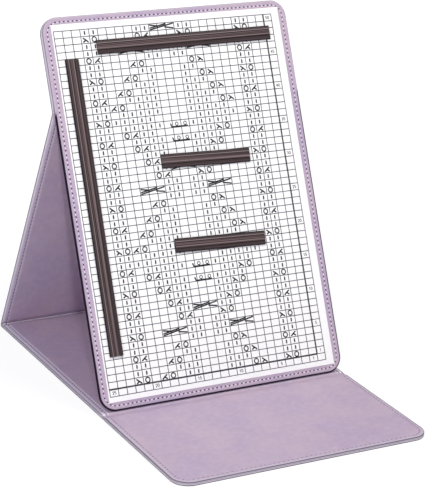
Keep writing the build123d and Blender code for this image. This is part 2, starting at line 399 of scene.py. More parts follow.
# %% Turn grids into pieces
def cells(rows, columns, start=0):
    """The four corners of each cell in a grid of points that is stored row after row."""
    first = start + np.arange(rows - 1)[:, None] * columns + np.arange(columns - 1)
    return np.stack([first, first + 1, first + columns + 1, first + columns], -1).reshape(-1, 4)


def border(rows, columns, start=0):
    """The grid's outer points, once round."""
    grid = start + np.arange(rows * columns).reshape(rows, columns)
    return np.concatenate([grid[0, :-1], grid[:-1, -1], grid[-1, :0:-1], grid[:0:-1, 0]])


def wall(first, second):
    """The faces between two closed loops: each has a point of both and the next point of both."""
    return np.stack([first, np.roll(first, -1, -1), np.roll(second, -1, -1), second], -1).reshape(-1, 4)


def repeated(faces, size, count):
    """The same faces for each of several copies that have so many points each."""
    return [[int(corner) + size * copy for corner in face] for copy in range(count) for face in faces]


def shell(top, under):
    """Points and faces of the closed shell between two grids of the same shape."""
    rows, columns = top.shape[:2]
    count = rows * columns
    walls = wall(border(rows, columns), border(rows, columns, count))
    points = np.vstack([top.reshape(-1, 3), under.reshape(-1, 3)])
    faces = np.vstack([cells(rows, columns), cells(rows, columns, count)[:, ::-1], walls])
    return points, faces


def on_both_faces(**tones):
    """Attributes of a shell whose upper and lower grid have the same values."""
    return {label: np.tile(values.ravel(), 2) for label, values in tones.items()}


def new_object(name, data):
    """An object in the scene for a mesh, a lamp or a camera."""
    made = bpy.data.objects.new(name, data)
    bpy.context.scene.collection.objects.link(made)
    return made


def new_piece(name, points, faces, finish, attributes=None, uv=None, sharp=35):
    """A closed, smooth-shaded piece from points and faces. Points in the same place become one."""
    mesh = bpy.data.meshes.new(name)
    mesh.from_pydata(points.reshape(-1, 3), [], faces)
    for label, values in (attributes or {}).items():
        made = mesh.attributes.new(label, "FLOAT", "POINT")
        made.data.foreach_set("value", values.astype(np.float32))
    if uv is not None:
        loops = np.empty(len(mesh.loops), np.int32)
        mesh.loops.foreach_get("vertex_index", loops)
        mesh.uv_layers.new(name="UVMap").data.foreach_set("uv", uv[loops].ravel())
    work = bmesh.new()
    work.from_mesh(mesh)
    bmesh.ops.remove_doubles(work, verts=work.verts, dist=1e-7)
    bmesh.ops.recalc_face_normals(work, faces=work.faces)
    work.to_mesh(mesh)
    work.free()
    mesh.materials.append(finish)
    mesh.shade_smooth()
    mesh.set_sharp_from_angle(angle=math.radians(sharp))
    piece = new_object(name, mesh)
    print(name, "has", len(mesh.polygons), "faces")
    return piece


def ease(value):
    """A soft step: 0 below 0, 1 above 1, with a smooth rise between."""
    share = np.clip(value, 0, 1)
    return share * share * (3 - 2 * share)


# %% [markdown]
# ## The skins
#
# Each panel is two leather skins sewn together round a stiff board. The outer one could be a plate
# with a bevel, but it would look like plastic. Real turned leather is nipped in where the two skins
# part, rolls over the edge, sinks under the seam and rises again over the board.
#
# So a skin is a grid whose outer rings follow the panel's outline. Ring by ring it has a distance
# from the edge and a rise from the parting line. At a free end the rings bend round the corner, and
# at a crease they stop square and the leather sinks towards the fold.

# %% Styles of edges
@dataclass
class EdgeStyle:
    """A sewn edge, with the values of the cover's lining. Strengths of highlight, shade and dye go from 0 to 1."""

    roll: float = 1.2 * MM  # radius of the turned edge
    seam: float = 4.0 * MM  # from the edge to the seam
    sink: float = 0.22 * MM  # how far the rim lies below the face
    channel: float = 0.34 * MM  # depth of the seam's groove
    pocket: float = 6.5 * MM  # from the edge to the stiff board
    rubbed: float = 3.2 * MM  # how far in the wear and its painted highlight reach
    rim: float = 0.0  # how strong the painted highlight on the seam's lips is
    groove: float = 0.08  # how dark the painted shade in the seam's groove is
    margin: float = 0.0  # how much painted shade darkens the whole skin at least
    line: float = 0.75  # how dark the line of dye on the edge's side is
    line_at: float = 0.58  # the line's height, as a share of the thickness
    stitch: float = 0.7  # a stitch's share of its step
    hole: float = 0.55 * MM  # radius of a needle hole
    dyed_below: float = -np.inf  # height below which the whole edge is painted dark as shade
    dyed_right: float = 0.0  # how dark the painted shade is on the right edge, which turns away from the light


cover_edge = EdgeStyle()
outer_edge = EdgeStyle(roll=0.6 * MM, line=1.0, line_at=0.66)
dark_edge = replace(outer_edge, line_at=0.5)
base_edge = EdgeStyle(rim=0.55, groove=0.7, line=0.7, dyed_right=0.85)
strut_edge = EdgeStyle(rim=0.25, groove=0.3, line=0.0)
flap_edge = EdgeStyle(dyed_right=0.85)
# The board's skins get a faint painted shade all over, and their edges are painted dark below the hinge.
board_edge = EdgeStyle(
    roll=1.0 * MM, seam=4.1 * MM, sink=0.12 * MM, channel=0.36 * MM, pocket=7.5 * MM, rubbed=1.0 * MM,
    groove=0.0, margin=0.05, line=0.7, line_at=0.5, stitch=0.62, hole=0.72 * MM,
    dyed_below=(points_of("strut_outer_skin", "strut_inner_skin") @ board_up).max(),
)
back_edge = replace(board_edge, line=0.0)

# %% The edge's cross-section
nip = 0.25 * MM
crown_rise = 0.06 * MM
shoulder_width = 0.5 * MM
seam_half = 0.8 * MM
lip_width = 1.2 * MM
leather_wall = 0.95 * MM
crease_wall = 3.0 * MM
# How strong the wear and its painted highlight are on the roll, and where they start on it.
most_worn_and_lit = 0.75
wear_and_light_start = 0.3
line_core, line_fade = 0.12, 0.18
right_shade_fade = 0.4 * MM
painted_shade_rolls = 1.3


def edge_rings(style, thickness, corner):
    """Distance from the edge and rise from the parting line, ring by ring from the edge inwards.

    The roll is a quarter circle. Between it and the seam the rim is slightly crowned. The seam is a
    dip shaped like a cosine, and past it the leather climbs by the sink over the board's edge.
    """
    rim = thickness - style.sink
    turn = np.linspace(0, np.pi / 2, 7)
    nipped_in = [nip, 0.3 * nip, 0.0, 0.0]
    nipped_up = [0.0, 0.4 * nip, nip, (nip + rim - style.roll) / 2]
    roll_in = style.roll * (1 - np.cos(turn))
    roll_up = rim - style.roll * (1 - np.sin(turn))
    shoulder = style.pocket + shoulder_width
    limits = [style.roll, style.seam - seam_half, style.seam + seam_half, shoulder, corner]
    flat_in = np.concatenate(
        [np.linspace(*ends, count)[1:] for *ends, count in zip(limits, limits[1:], (5, 9, 5, 4))]
    )
    crown = np.sin(np.pi * np.clip((flat_in - style.roll) / (style.seam - style.roll), 0, 1))
    dip = np.cos(np.pi / 2 * np.clip((flat_in - style.seam) / seam_half, -1, 1)) ** 2
    climb = ease((flat_in - style.seam) / (shoulder - style.seam))
    flat_up = rim + crown_rise * crown - style.channel * dip + style.sink * climb
    return np.concatenate([nipped_in, roll_in, flat_in]), np.concatenate([nipped_up, roll_up, flat_up])


def edge_tones(style, inset):
    """How worn and lit, how highlighted and how shaded the leather is painted at a distance from the edge,
    each 0 to 1.

    Wear with a painted highlight is strongest at the roll. Both lips of the seam get a painted
    highlight, the groove between gets painted shade, and the whole skin can get a little painted shade.
    """
    off_seam = ease(np.abs(inset - style.seam) / seam_half)
    rubbed = most_worn_and_lit * (1 - ease((inset - wear_and_light_start * style.roll) / style.rubbed))
    lip_highlight = style.rim * off_seam * (1 - ease((inset - style.seam - lip_width) / lip_width))
    return rubbed, lip_highlight, np.maximum(style.groove * (1 - off_seam), style.margin)


def dark_line(style, inset, share):
    """The line of dye on the edge's side: full about one share of the thickness, then fading out."""
    fading = ease((np.abs(share - style.line_at) - line_core) / line_fade)
    return style.line * (1 - fading) * (inset < style.roll)


def right_dye(style, x):
    """Painted shade on the right edge, which turns away from the light: full on the roll and gone soon after it.
    """
    return style.dyed_right * (1 - ease((half_width - x - cover_edge.roll) / right_shade_fade))


# %% The grid of a skin
def stations(low, high, from_low, from_high, middle):
    """Places from low to high: given distances in from both ends, and even steps between."""
    even = np.linspace(low + from_low[-1], high - from_high[-1], middle + 1)[1:-1]
    return np.concatenate([low + from_low, even, (high - from_high)[::-1]])


def soft_waves(x, y):
    """Slow, shallow unevenness of stretched leather: three waves at odd angles, 0 to 1."""
    first = np.sin(2 * np.pi * (x / 0.061 + y / 0.143) + 1.1)
    second = np.sin(2 * np.pi * (y / 0.047 - x / 0.117) + 0.4)
    third = np.sin(2 * np.pi * (x / 0.029 + y / 0.037))
    return (first + second + 0.5 * third) / 5 + 0.5


def skin_grid(panel, style, thickness, middle):
    """Where a skin's grid lies across and along, its ring numbers, and how far creases are away.

    The rings of a corner share its centre, and their radius shrinks to nothing at the last ring.
    """
    corner = panel.low_corner or panel.high_corner or board_corner
    inset, rise = edge_rings(style, thickness, corner)
    last = len(inset) - 1
    to_crease = corner * np.linspace(0, 1, last + 1) ** 1.5
    across_at = stations(-half_width, half_width, inset, inset, middle[0])
    from_low = inset if panel.low_corner else to_crease
    from_high = inset if panel.high_corner else to_crease
    along_at = stations(panel.low, panel.high, from_low, from_high, middle[1])

    y, x = np.meshgrid(along_at, across_at, indexing="ij")
    row = np.arange(len(along_at))
    column = np.arange(len(across_at))
    side = np.minimum(column, column[::-1])[None, :] + 0 * row[:, None]
    ring = np.minimum(side, last)
    for free, end, towards, rows in (
        (panel.low_corner, panel.low, 1, row),
        (panel.high_corner, panel.high, -1, row[::-1]),
    ):
        if not free:
            continue
        from_end = rows[:, None] + 0 * column[None, :]
        ring = np.minimum(ring, from_end)
        here = (side < last) & (from_end < last)
        near = np.minimum(side, from_end)
        share = (np.maximum(side, from_end) - near) / np.maximum(last - near, 1)
        angle = np.pi / 4 * (1 - share)
        radius = corner - inset[np.minimum(near, last)]
        short, long = corner - radius * np.cos(angle), corner - radius * np.sin(angle)
        in_from_side = np.where(side < from_end, short, long)
        in_from_end = np.where(side < from_end, long, short)
        x = np.where(here, np.sign(x) * (half_width - in_from_side), x)
        y = np.where(here, end + towards * in_from_end, y)
    to_low = np.inf if panel.low_corner else y - panel.low
    to_high = np.inf if panel.high_corner else panel.high - y
    return x, y, inset[ring], rise[ring], np.minimum(to_low, to_high)


# %% Close a skin
@dataclass
class Sink:
    """How a skin sinks towards a crease: the share of its thickness that it keeps, and over what reach."""

    keep: float
    reach: float


flat_end = Sink(1.0, 1.0 * MM)
foot_base = Sink(0.6, 1.8 * MM)
foot_flap = Sink(0.6, 2.8 * MM)
rear_sink = Sink(0.34, 3.0 * MM)
hinge_sink = Sink(0.15, 4.5 * MM)
wave_height = 0.09 * MM
wave_start = 8 * MM


def skin(name, body, panel, style, lining, low=flat_end, high=flat_end, pocket_rise=None, middle=(50, 60)):
    """One leather skin as a closed shell, from the parting line outwards or inwards."""
    thickness = panel.thickness(lining)
    x, y, inset, rise, to_crease = skin_grid(panel, style, thickness, middle)
    near_low = ease((y - panel.low) / low.reach)
    near_high = ease((panel.high - y) / high.reach)
    keep = (low.keep + (1 - low.keep) * near_low) * (high.keep + (1 - high.keep) * near_high)
    waves = wave_height * soft_waves(x, y) * ease((inset - style.seam) / wave_start)
    hollow = thickness - leather_wall if pocket_rise is None else pocket_rise
    boxed = (inset > style.pocket) & (to_crease > crease_wall)
    way = 1 if lining else -1
    levels = (rise * keep - waves, np.where(boxed, hollow, 0.0))
    points, faces = shell(*(panel.place(x, y, panel.parting + way * level) for level in levels))
    worn_and_lit, seam_highlight, dark = edge_tones(style, inset)
    line = dark_line(style, inset, rise / thickness)
    # Below the strut's top the board's edges are painted fully dark as the tent's shade. Painted shade is added in
    # the seam's groove and on the right edge too.
    dyed_and_shaded = np.where(y < style.dyed_below, 1.0 * (inset < painted_shade_rolls * style.roll), line)
    dyed_and_shaded = np.maximum(np.maximum(dyed_and_shaded, dark), right_dye(style, x))
    attributes = on_both_faces(edge=worn_and_lit, deep=dyed_and_shaded, pale=seam_highlight)
    piece = new_piece(name, points, faces, lilac_leather, attributes)
    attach(piece, body)
    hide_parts(name.replace("leather_", "") + "_skin")
    return piece


# %% All ten skins
skin("leather_base_outer", "base", base, outer_edge, False)
skin("leather_base_inner", "base", base, base_edge, True, foot_base, rear_sink)
skin("leather_flap_outer", "flap", flap, outer_edge, False, middle=(50, 30))
skin("leather_flap_inner", "flap", flap, flap_edge, True, high=foot_flap, middle=(50, 30))
skin("leather_strut_outer", "strut", strut, dark_edge, False)
skin("leather_strut_inner", "strut", strut, strut_edge, True, rear_sink, hinge_sink)
skin("leather_upper_cover_outer", "board", upper_cover, dark_edge, False, middle=(50, 20))
skin("leather_upper_cover_inner", "board", upper_cover, strut_edge, True, hinge_sink, middle=(50, 20))
skin("leather_board_front", "board", board, board_edge, True, pocket_rise=0.0, middle=(50, 75))
skin("leather_board_back", "board", board, back_edge, False, pocket_rise=0.7 * MM, middle=(50, 75))

# %% [markdown]
# ## Leather at the creases
#
# At a crease both skins go on as bare leather. Each crease is a band of its own, drawn in the rest
# pose from the edge of one panel to the edge of the other. It is not tied to either panel, so it stays
# where it is drawn when the holder folds.
#
# A band is drawn between two curves in the side view: a low one at the parting line, and a high one
# at the leather's face. Across the holder it has the same edge as the skins beside it.

# %% Draw a crease between two curves
stations_along = np.linspace(0, 1, 25)


def side_view(panel, at, level):
    """A panel's point in the side view: its Y and Z."""
    return at * panel.along[1:] + level * panel.up[1:]


def straight(first, last):
    return first + stations_along[:, None] * (last - first)


def bent(first, first_way, last, last_way):
    """A quadratic arc that leaves one line and joins another smoothly. They meet at its third point."""
    steps = np.linalg.solve(np.stack([first_way, -last_way], -1), last - first)
    corner = first + steps[0] * first_way
    share = stations_along[:, None]
    return (1 - share) ** 2 * first + 2 * share * (1 - share) * corner + share**2 * last


lining_thickness = base.thickness(True)
band_steps = 24


def crease_band(crease, low, high, style, pale=0.0, shade=0.0):
    """A strip of leather from body to body between a low and a high curve in the side view.

    The painted highlight and the painted shade say at each station along the fold how pale and how dark it is.
    """
    inset, rise = edge_rings(style, lining_thickness, board_corner)
    rise /= lining_thickness
    across_at = stations(-half_width, half_width, inset, inset, band_steps)
    share = np.concatenate([rise, np.ones(band_steps - 1), rise[::-1]])
    wide = np.ones((len(low), 1))
    step = (high - low)[:, None, :]
    sides = [low[:, None, :] + step * up[:, None] for up in (share, np.clip(share - 0.5, 0, 1))]
    points, faces = shell(*(np.dstack([wide * across_at, side]) for side in sides))
    from_side = half_width - np.abs(across_at)
    worn_and_lit, lip_highlight, dark = (wide * tone for tone in edge_tones(style, from_side))
    dyed_and_shaded = np.maximum(dark_line(style, from_side, share), right_dye(style, across_at))
    attributes = on_both_faces(
        edge=worn_and_lit,
        deep=np.maximum(np.maximum(dyed_and_shaded, dark), np.broadcast_to(shade, len(low))[:, None]),
        pale=np.maximum(lip_highlight, np.broadcast_to(pale, len(low))[:, None]),
    )
    node = crease + "_strip"
    piece = new_piece("leather_" + crease, points, faces, lilac_leather, attributes)
    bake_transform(piece)
    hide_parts(node)
    return piece


# %% The crease in front of the board's foot
flap_out = side_view(flap, flap.high, flap.outside)
base_out = side_view(base, base.low, base.outside)
foot_window = (side_view(flap, flap.high, flap.parting), side_view(base, base.low, base.parting))
parting_line = straight(*foot_window)
inner_line = parting_line + np.array([0.0, lining_thickness * foot_base.keep])
valley = np.sin(np.pi * stations_along)[:, None] ** 2 * np.array([0.0, 1.0])
outer_valley, inner_valley = 0.12 * MM, 0.2 * MM
foot_outer = straight(flap_out, base_out) + outer_valley * valley
foot_inner = inner_line - inner_valley * valley
crease_band("foot_crease_outer", parting_line, foot_outer, outer_edge)
crease_band("foot_crease_inner", parting_line, foot_inner, flap_edge)

# %% [markdown]
# ### The crease at the back
#
# The outer leather goes round in an arc about the fold's axis. The lining has too much length for the
# inside of the fold, so it rises into one bead with a small valley on each side. The bead is drawn
# about the fold's middle line: a cosine carries it from side to side, and two more raise it.

# %% The crease at the back
rear_fold = np.array(joints["stand_fold"]["pos_m"])[1:]
base_way = -base.along[1:]
strut_way = strut.along[1:]
middle_way = unit(base_way + strut_way)
cross_way = left_of(middle_way)
cross_way *= np.sign(cross_way @ strut_way)
base_end = side_view(base, base.high, base.parting) - rear_fold
strut_end = side_view(strut, strut.low, strut.parting) - rear_fold

down = -base.up[1:]
strut_out = -strut.up[1:]
full_turn = np.arccos(down @ strut_out)
turns = np.linspace(0, full_turn, 13)[:, None]
radius = base.thickness(False)
quarter = (strut_out - (strut_out @ down) * down) / np.sin(full_turn)
arc = radius * (np.cos(turns) * down + np.sin(turns) * quarter)
run = np.linspace(1, 0, 7)[:-1, None]
outer_line = np.vstack([radius * down + run * base_end, arc, (radius * strut_out + run * strut_end)[::-1]])
pivot_line = np.vstack([run * base_end, 0 * turns * down, (run * strut_end)[::-1]])

bead_start = base_end + lining_thickness * rear_sink.keep * base.up[1:]
reach_across = -bead_start @ cross_way
reach_along = bead_start @ middle_way
bead_crest = 0.9 * MM
bead_dip = 1.2 * MM
least_gap = 0.1 * MM
bead_mean = reach_along - bead_dip / 2 - bead_crest / 4
swing = np.pi * stations_along[:, None]
bead_across = -reach_across * np.cos(swing)
bead_along = bead_mean + (reach_along - bead_mean) * np.cos(4 * swing) + bead_crest * np.sin(swing) ** 2
bead = bead_across * cross_way + bead_along * middle_way
beneath_across = base_end @ cross_way * np.cos(swing)
steepness = (base_end @ middle_way) / abs(base_end @ cross_way)
beneath_along = np.hypot(steepness * beneath_across, least_gap)
beneath = beneath_across * cross_way + beneath_along * middle_way

pivot_line += rear_fold
outer_line += rear_fold
crease_band("rear_crease_outer", pivot_line, outer_line, outer_edge)
# The bead's crest gets a painted highlight, and its valley on the strut's side a painted shade.
crease_band(
    "rear_crease_inner", rear_fold + beneath, rear_fold + bead, base_edge,
    pale=np.sin(swing[:, 0]) ** 3,
    shade=0.6 * np.sin(2 * swing[:, 0]) ** 6 * (swing[:, 0] > np.pi / 2),
)
print("bead stands", round((bead_along.max() - bead_along.min()) / MM, 2), "mm above its valleys")

# %% The hinge behind the board
cover_way = upper_cover.along[1:]


def hinge_curve(strut_level, cover_level):
    """The smooth curve from the strut's end to the upper cover's start at a level of each."""
    first = side_view(strut, strut.high, strut_level)
    last = side_view(upper_cover, upper_cover.low, cover_level)
    return bent(first, strut_way, last, cover_way)


hinge_low = hinge_curve(strut.parting, upper_cover.parting)
hinge_outer = hinge_curve(strut.outside, upper_cover.outside)
hinge_inner = hinge_curve(*(p.parting + hinge_sink.keep * p.thickness(True) for p in (strut, upper_cover)))
for side, curve, style in (("outer", hinge_outer, dark_edge), ("inner", hinge_inner, strut_edge)):
    crease_band("top_hinge_" + side, hinge_low, curve, style)

# %% [markdown]
# ## Seams
#
# A machine seam is a row of needle holes with a short arch of thread from hole to hole. A groove with
# a dotted picture on it would lie flat. Each stitch here is a small tube of its own that bridges two
# holes, a little askew as machine stitches are, and its ends dive into the leather.
#
# The seam's path runs along the right side. It turns round the corner of a free end to its middle, or
# stops short of a crease, and gets a whole number of stitches. The other half mirrors it.

# %% The path of a seam
seam_stop = 5.0 * MM


def seam_stations(panel, inset, pitch):
    """Places of the holes and stitches on the right half of a seam, and each stitch's direction."""
    quarter = np.linspace(0, np.pi / 2, 40)

    def end_path(corner, end, towards):
        """From the middle of a free end round its corner, or only the stop before a crease."""
        if not corner:
            return np.array([[half_width - inset, end + towards * seam_stop]])
        radius = corner - inset
        x = half_width - corner + radius * np.sin(quarter)
        y = end + towards * (corner - radius * np.cos(quarter))
        return np.stack([np.append(0.0, x), np.append(end + towards * inset, y)], -1)

    low = end_path(panel.low_corner, panel.low, 1)
    path = np.vstack([low, end_path(panel.high_corner, panel.high, -1)[::-1]])
    length = np.append(0, np.cumsum(np.linalg.norm(np.diff(path, axis=0), axis=1)))
    count = round(length[-1] / pitch)
    step = length[-1] / count
    holes = np.stack([np.interp(step * np.arange(count + 1), length, part) for part in path.T], -1)
    return holes, (holes[1:] + holes[:-1]) / 2, unit(np.diff(holes, axis=0)), step


# %% The shape of stitches and holes
stitch_sides = 6
stitch_rings = 6
dot_sides = 8
slant = math.radians(8)
stitch_lift = 0.2 * MM
end_dive = 0.9
end_taper = 0.35
dot_rim, dot_crown, dot_root = 0.02 * MM, 0.04 * MM, -0.05 * MM


def around(sides):
    """Even angles once round."""
    return 2 * np.pi * np.arange(sides) / sides


def mirrored(values):
    """Values of the right half, and the same for the left half with X turned round."""
    return np.vstack([values, values * np.array([-1.0, 1.0])])


def stitch_points(centres, ways, length, radius):
    """Each stitch's tube: rings of points along an arch that starts and ends below the leather.

    The arch falls with the cube of the way from its middle, and the tube tapers with the fourth power.
    """
    way = math.cos(slant) * ways + math.sin(slant) * left_of(ways)
    share = np.linspace(-1, 1, stitch_rings)
    fall = np.abs(share) ** 3
    arch = stitch_lift * (1 - fall) - end_dive * radius * fall
    thick = radius * (1 - end_taper * share**4)[:, None]
    out = thick * np.cos(around(stitch_sides))
    up = arch[:, None] + thick * np.sin(around(stitch_sides))
    flat = (
        centres[:, None, None, :]
        + (length / 2 * share)[None, :, None, None] * way[:, None, None, :]
        + out[None, :, :, None] * left_of(way)[:, None, None, :]
    )
    return flat[..., 0], flat[..., 1], np.broadcast_to(up, flat.shape[:3])


def stitch_faces(count):
    """The tube's walls and its two end caps, for each stitch."""
    loops = np.arange(stitch_rings * stitch_sides).reshape(stitch_rings, stitch_sides)
    return repeated([*wall(loops[:-1], loops[1:]), loops[0, ::-1], loops[-1]], loops.size, count)


def dots(panel, centres, ways, style, level, face):
    """A lens at each centre: a rim on the seam channel's own curve, and a point over and under it."""
    # The lens is dark: painted shade that stands for the depth of the needle hole.
    ahead, aside = style.hole * np.cos(around(dot_sides)), style.hole * np.sin(around(dot_sides))
    rim = ahead[:, None] * ways[:, None, :] + aside[:, None] * left_of(ways)[:, None, :]
    flat = centres[:, None, :] + np.pad(rim, ((0, 0), (0, 2), (0, 0)))
    climb = style.channel * np.sin(np.pi / 2 * np.clip(aside / seam_half, -1, 1)) ** 2
    height = np.append(climb + dot_rim, [dot_crown, dot_root])
    levels = level + face * np.broadcast_to(height, flat.shape[:2])
    return panel.place(flat[..., 0], flat[..., 1], levels).reshape(-1, 3)


def dot_faces(count):
    """Triangles from the rim to both middle points of each lens."""
    ring = np.arange(dot_sides)
    after = np.roll(ring, -1)
    over = np.stack([ring, after, np.full(dot_sides, dot_sides)], -1)
    below = np.stack([after, ring, np.full(dot_sides, dot_sides + 1)], -1)
    return repeated([*over, *below], dot_sides + 2, count)


# %% Sew every panel
def seam(name, body, panel, style, pitch, sides, thread, hole, radius):
    """Stitches and needle holes on one or both faces of a panel."""
    node = name + "_seam_thread"
    holes, centres, ways, step = seam_stations(panel, style.seam, pitch)
    hole_ways = mirrored(np.vstack([ways, ways[-1:]]))
    holes, centres, ways = mirrored(holes), mirrored(centres), mirrored(ways)
    points, marks = [], []
    for face in sides:
        floor = panel.thickness(face > 0) - style.sink - style.channel
        x, y, height = stitch_points(centres, ways, style.stitch * step, radius)
        points.append(panel.place(x, y, panel.parting + face * (floor + height)).reshape(-1, 3))
        marks.append(dots(panel, holes, hole_ways, style, panel.parting + face * floor, face))
    points, marks = np.vstack(points), np.vstack(marks)
    count = len(points) // (stitch_rings * stitch_sides)
    along, round_it = np.linspace(0, 1, stitch_rings), np.arange(stitch_sides) / stitch_sides
    uv = np.stack(np.meshgrid(along, round_it, indexing="ij"), -1).reshape(-1, 2)
    uv = np.tile(uv, (count, 1))
    stitches = new_piece("thread_" + name, points, stitch_faces(count), thread, uv=uv, sharp=60)
    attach(stitches, body)
    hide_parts(node)
    marked = new_piece("holes_" + name, marks, dot_faces(len(marks) // (dot_sides + 2)), hole)
    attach(marked, body)
    print(name, "has", count, "stitches of", round(step / MM, 2), "mm")


both = (1, -1)
seam("board", "board", board, board_edge, 3.94 * MM, both, pale_thread, needle_hole_shade, 0.42 * MM)
for name, body, panel, sides in (
    ("upper_cover", "board", upper_cover, (-1,)),
    ("strut", "strut", strut, both),
    ("base", "base", base, both),
    ("flap", "flap", flap, both),
):
    seam(name, body, panel, cover_edge, 4.2 * MM, sides, lilac_thread, soft_hole_shade, 0.29 * MM)

# %% [markdown]
# ## Magnet strips
#
# The strips are pressed through a die, so one section is carried along the whole length: two slim
# ribs and a wide crowned one between them. Below lies the pocket for the flexible magnet. Their place
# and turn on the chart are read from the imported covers.

# %% The strips' section
groove_at, groove_deep = 0.42, 0.55 * MM
crowned, ribs_lower = 0.1 * MM, 0.18 * MM
side_round, end_round = 0.6 * MM, 0.3 * MM
strip_wall = 0.8 * MM
clearance = 0.02 * MM


def soft_line(place, middle, width):
    """A soft line of a width at each side's middle, 1 along it and 0 away from it."""
    return np.exp(-(((np.abs(place) - middle) / width) ** 2))


def rounded(share):
    """How far a quarter circle has dropped: 0 at 0 and 1 at 1."""
    return 1 - np.sqrt(1 - np.clip(share, 0, 1) ** 2)


def strip_top(place, height):
    """The section's height: a crowned middle, two rounded grooves and slightly lower outer ribs.

    Places across the strip go from -1 at one side to 1 at the other.
    """
    from_middle = np.abs(place)
    groove = groove_deep * soft_line(place, groove_at, 0.05)
    lower = crowned * place**2 + ribs_lower * ease((from_middle - 0.45) / 0.5)
    return height - groove - lower - side_round * rounded((from_middle - 0.9) / 0.1)


# %% Lay the four strips
section_points = 81
strip_step = 2 * MM
uv_across, uv_along = 0.8 * MM, 300 * MM
uv_shift = 50

for name in ("top_strip", "side_strip", "upper_middle_strip", "lower_middle_strip"):
    cover = points_of(name + "_cover")
    level = cover @ board_front
    flat = np.stack([cover[:, 0], cover @ board_up], -1)
    middle = (flat.max(axis=0) + flat.min(axis=0)) / 2
    way = np.linalg.svd(flat - flat.mean(axis=0), full_matrices=False)[2][0]
    way *= np.sign(way.sum())
    beside = left_of(way)
    half_long, half_wide = np.ptp(flat @ way) / 2, np.ptp(flat @ beside) / 2
    magnet_top = (points_of(name + "_magnet") @ board_front).max() - level.min()

    end_in = np.array([0.0, 0.05, 0.15, 0.3, 0.5]) * MM
    end_drop = end_round * rounded(1 - end_in / end_in[-1])
    pocket_at = 1 - np.array([strip_wall, strip_wall + clearance]) / half_wide
    even = np.linspace(-1, 1, section_points)
    u = np.unique(np.concatenate([even, [-0.985, 0.985], -pocket_at, pocket_at]))
    v = stations(-half_long, half_long, end_in, end_in, int(half_long / strip_step))
    drop = np.interp(half_long - np.abs(v), end_in, end_drop)[:, None]
    u, v = np.meshgrid(u, v)
    inside = half_wide * (1 - np.abs(u)) > strip_wall + clearance / 2
    x, y = (middle[i] + half_wide * u * beside[i] + v * way[i] for i in (0, 1))
    heights = (strip_top(u, np.ptp(level)) - drop, np.where(inside, magnet_top + clearance, 0.0))
    points, faces = shell(*(board.place(x, y, level.min() + height) for height in heights))
    uv = np.stack([half_wide * u / uv_across, v / uv_along + middle[1] * uv_shift], -1).reshape(-1, 2)
    uv = np.vstack([uv, uv])
    # Painted shade in the grooves and at the long edges, and two painted highlight lines beside the grooves.
    attributes = on_both_faces(
        side=0.7 * ease((np.abs(u) - groove_at) / 0.1),
        rubbed=0.75 * soft_line(u - 0.54, 0.0, 0.05) + 0.5 * soft_line(u + 0.14, 0.0, 0.06),
        groove=np.maximum(0.8 * soft_line(u, groove_at, 0.06), ease((np.abs(u) - 0.86) / 0.06)),
    )
    piece = new_piece("ribbed_" + name, points, faces, strip_plastic, attributes, uv, sharp=50)
    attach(piece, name)
    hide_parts(name + "_cover")
    turned = math.degrees(math.atan2(way[1], way[0]))
    print(name, "is", round(2 * half_long / MM, 1), "mm long and turned", round(turned, 2))

# %% [markdown]
# ## The printed chart
#
# The print is ink on paper, so it is far too thin to carve. It could be an image, but then it would
# blur up close. Here each line and symbol is a flat plate of ink a few hundredths of a millimetre
# high, which stays sharp and passes under the magnet strips.
#
# Symbols are the common ones of lace charts: a ring for a yarn over, a lambda for a decrease, a tick
# for a plain stitch and long crossed lines for a cable. A row of cells is named by its height from
# the bottom and a column by its place from the left.

# %% Turn strokes and rings into plates of ink
paper_points = points_of("chart_sheet")
sheet_left = paper_points[:, 0].min()
sheet_top = (paper_points @ board_up).max()
paper_face = (paper_points @ board_front).max()
ink_foot = -0.01 * MM
ring_sides = 12


def on_sheet(x, down, level):
    """Points on the board from how far right and down from the sheet's top left corner."""
    return board.place(sheet_left + x * MM, sheet_top - down * MM, paper_face + level)


def plates(flat, high):
    """Closed plates with as many corners each: their points and faces."""
    count, corners = flat.shape[:2]
    level = np.repeat([high, ink_foot], corners)
    both = np.concatenate([flat, flat], axis=1)
    points = on_sheet(both[..., 0], both[..., 1], np.broadcast_to(level, both.shape[:2]))
    ring = np.arange(corners)
    faces = [ring, ring[::-1] + corners, *wall(ring, ring + corners)]
    return points.reshape(-1, 3), repeated(faces, 2 * corners, count)


def strokes(lines, width, high):
    """Flat bars with a point at each end. A line is x and down of its start, then of its end."""
    start, end = lines[:, :2], lines[:, 2:]
    way = unit(end - start)
    tip, side = 0.3 * width * way, width / 2 * left_of(way)
    corners = [start - tip, start + side, end + side, end + tip, end - side, start - side]
    return plates(np.stack(corners, axis=1), high)


def rings(centres, radius, width, high):
    """Flat rings with a rectangular section, slightly narrower than high."""
    way = np.stack([0.92 * np.cos(around(ring_sides)), np.sin(around(ring_sides))], -1)
    loops = []
    for out, level in ((1, high), (-1, high), (-1, ink_foot), (1, ink_foot)):
        flat = centres[:, None, :] + (radius + out * width / 2) * way
        loops.append(on_sheet(flat[..., 0], flat[..., 1], np.full(flat.shape[:2], level)))
    loop = np.arange(4 * ring_sides).reshape(4, ring_sides)
    faces = repeated(wall(loop, np.roll(loop, -1, axis=0)), loop.size, len(centres))
    return np.stack(loops, axis=1).reshape(-1, 3), faces


def printed(name, finish, parts):
    """One piece of ink from several groups of plates."""
    points, faces, first = [], [], 0
    for some_points, some_faces in parts:
        faces += [[corner + first for corner in face] for face in some_faces]
        points.append(some_points)
        first += len(some_points)
    piece = new_piece(name, np.vstack(points), faces, finish, sharp=30)
    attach(piece, "board")


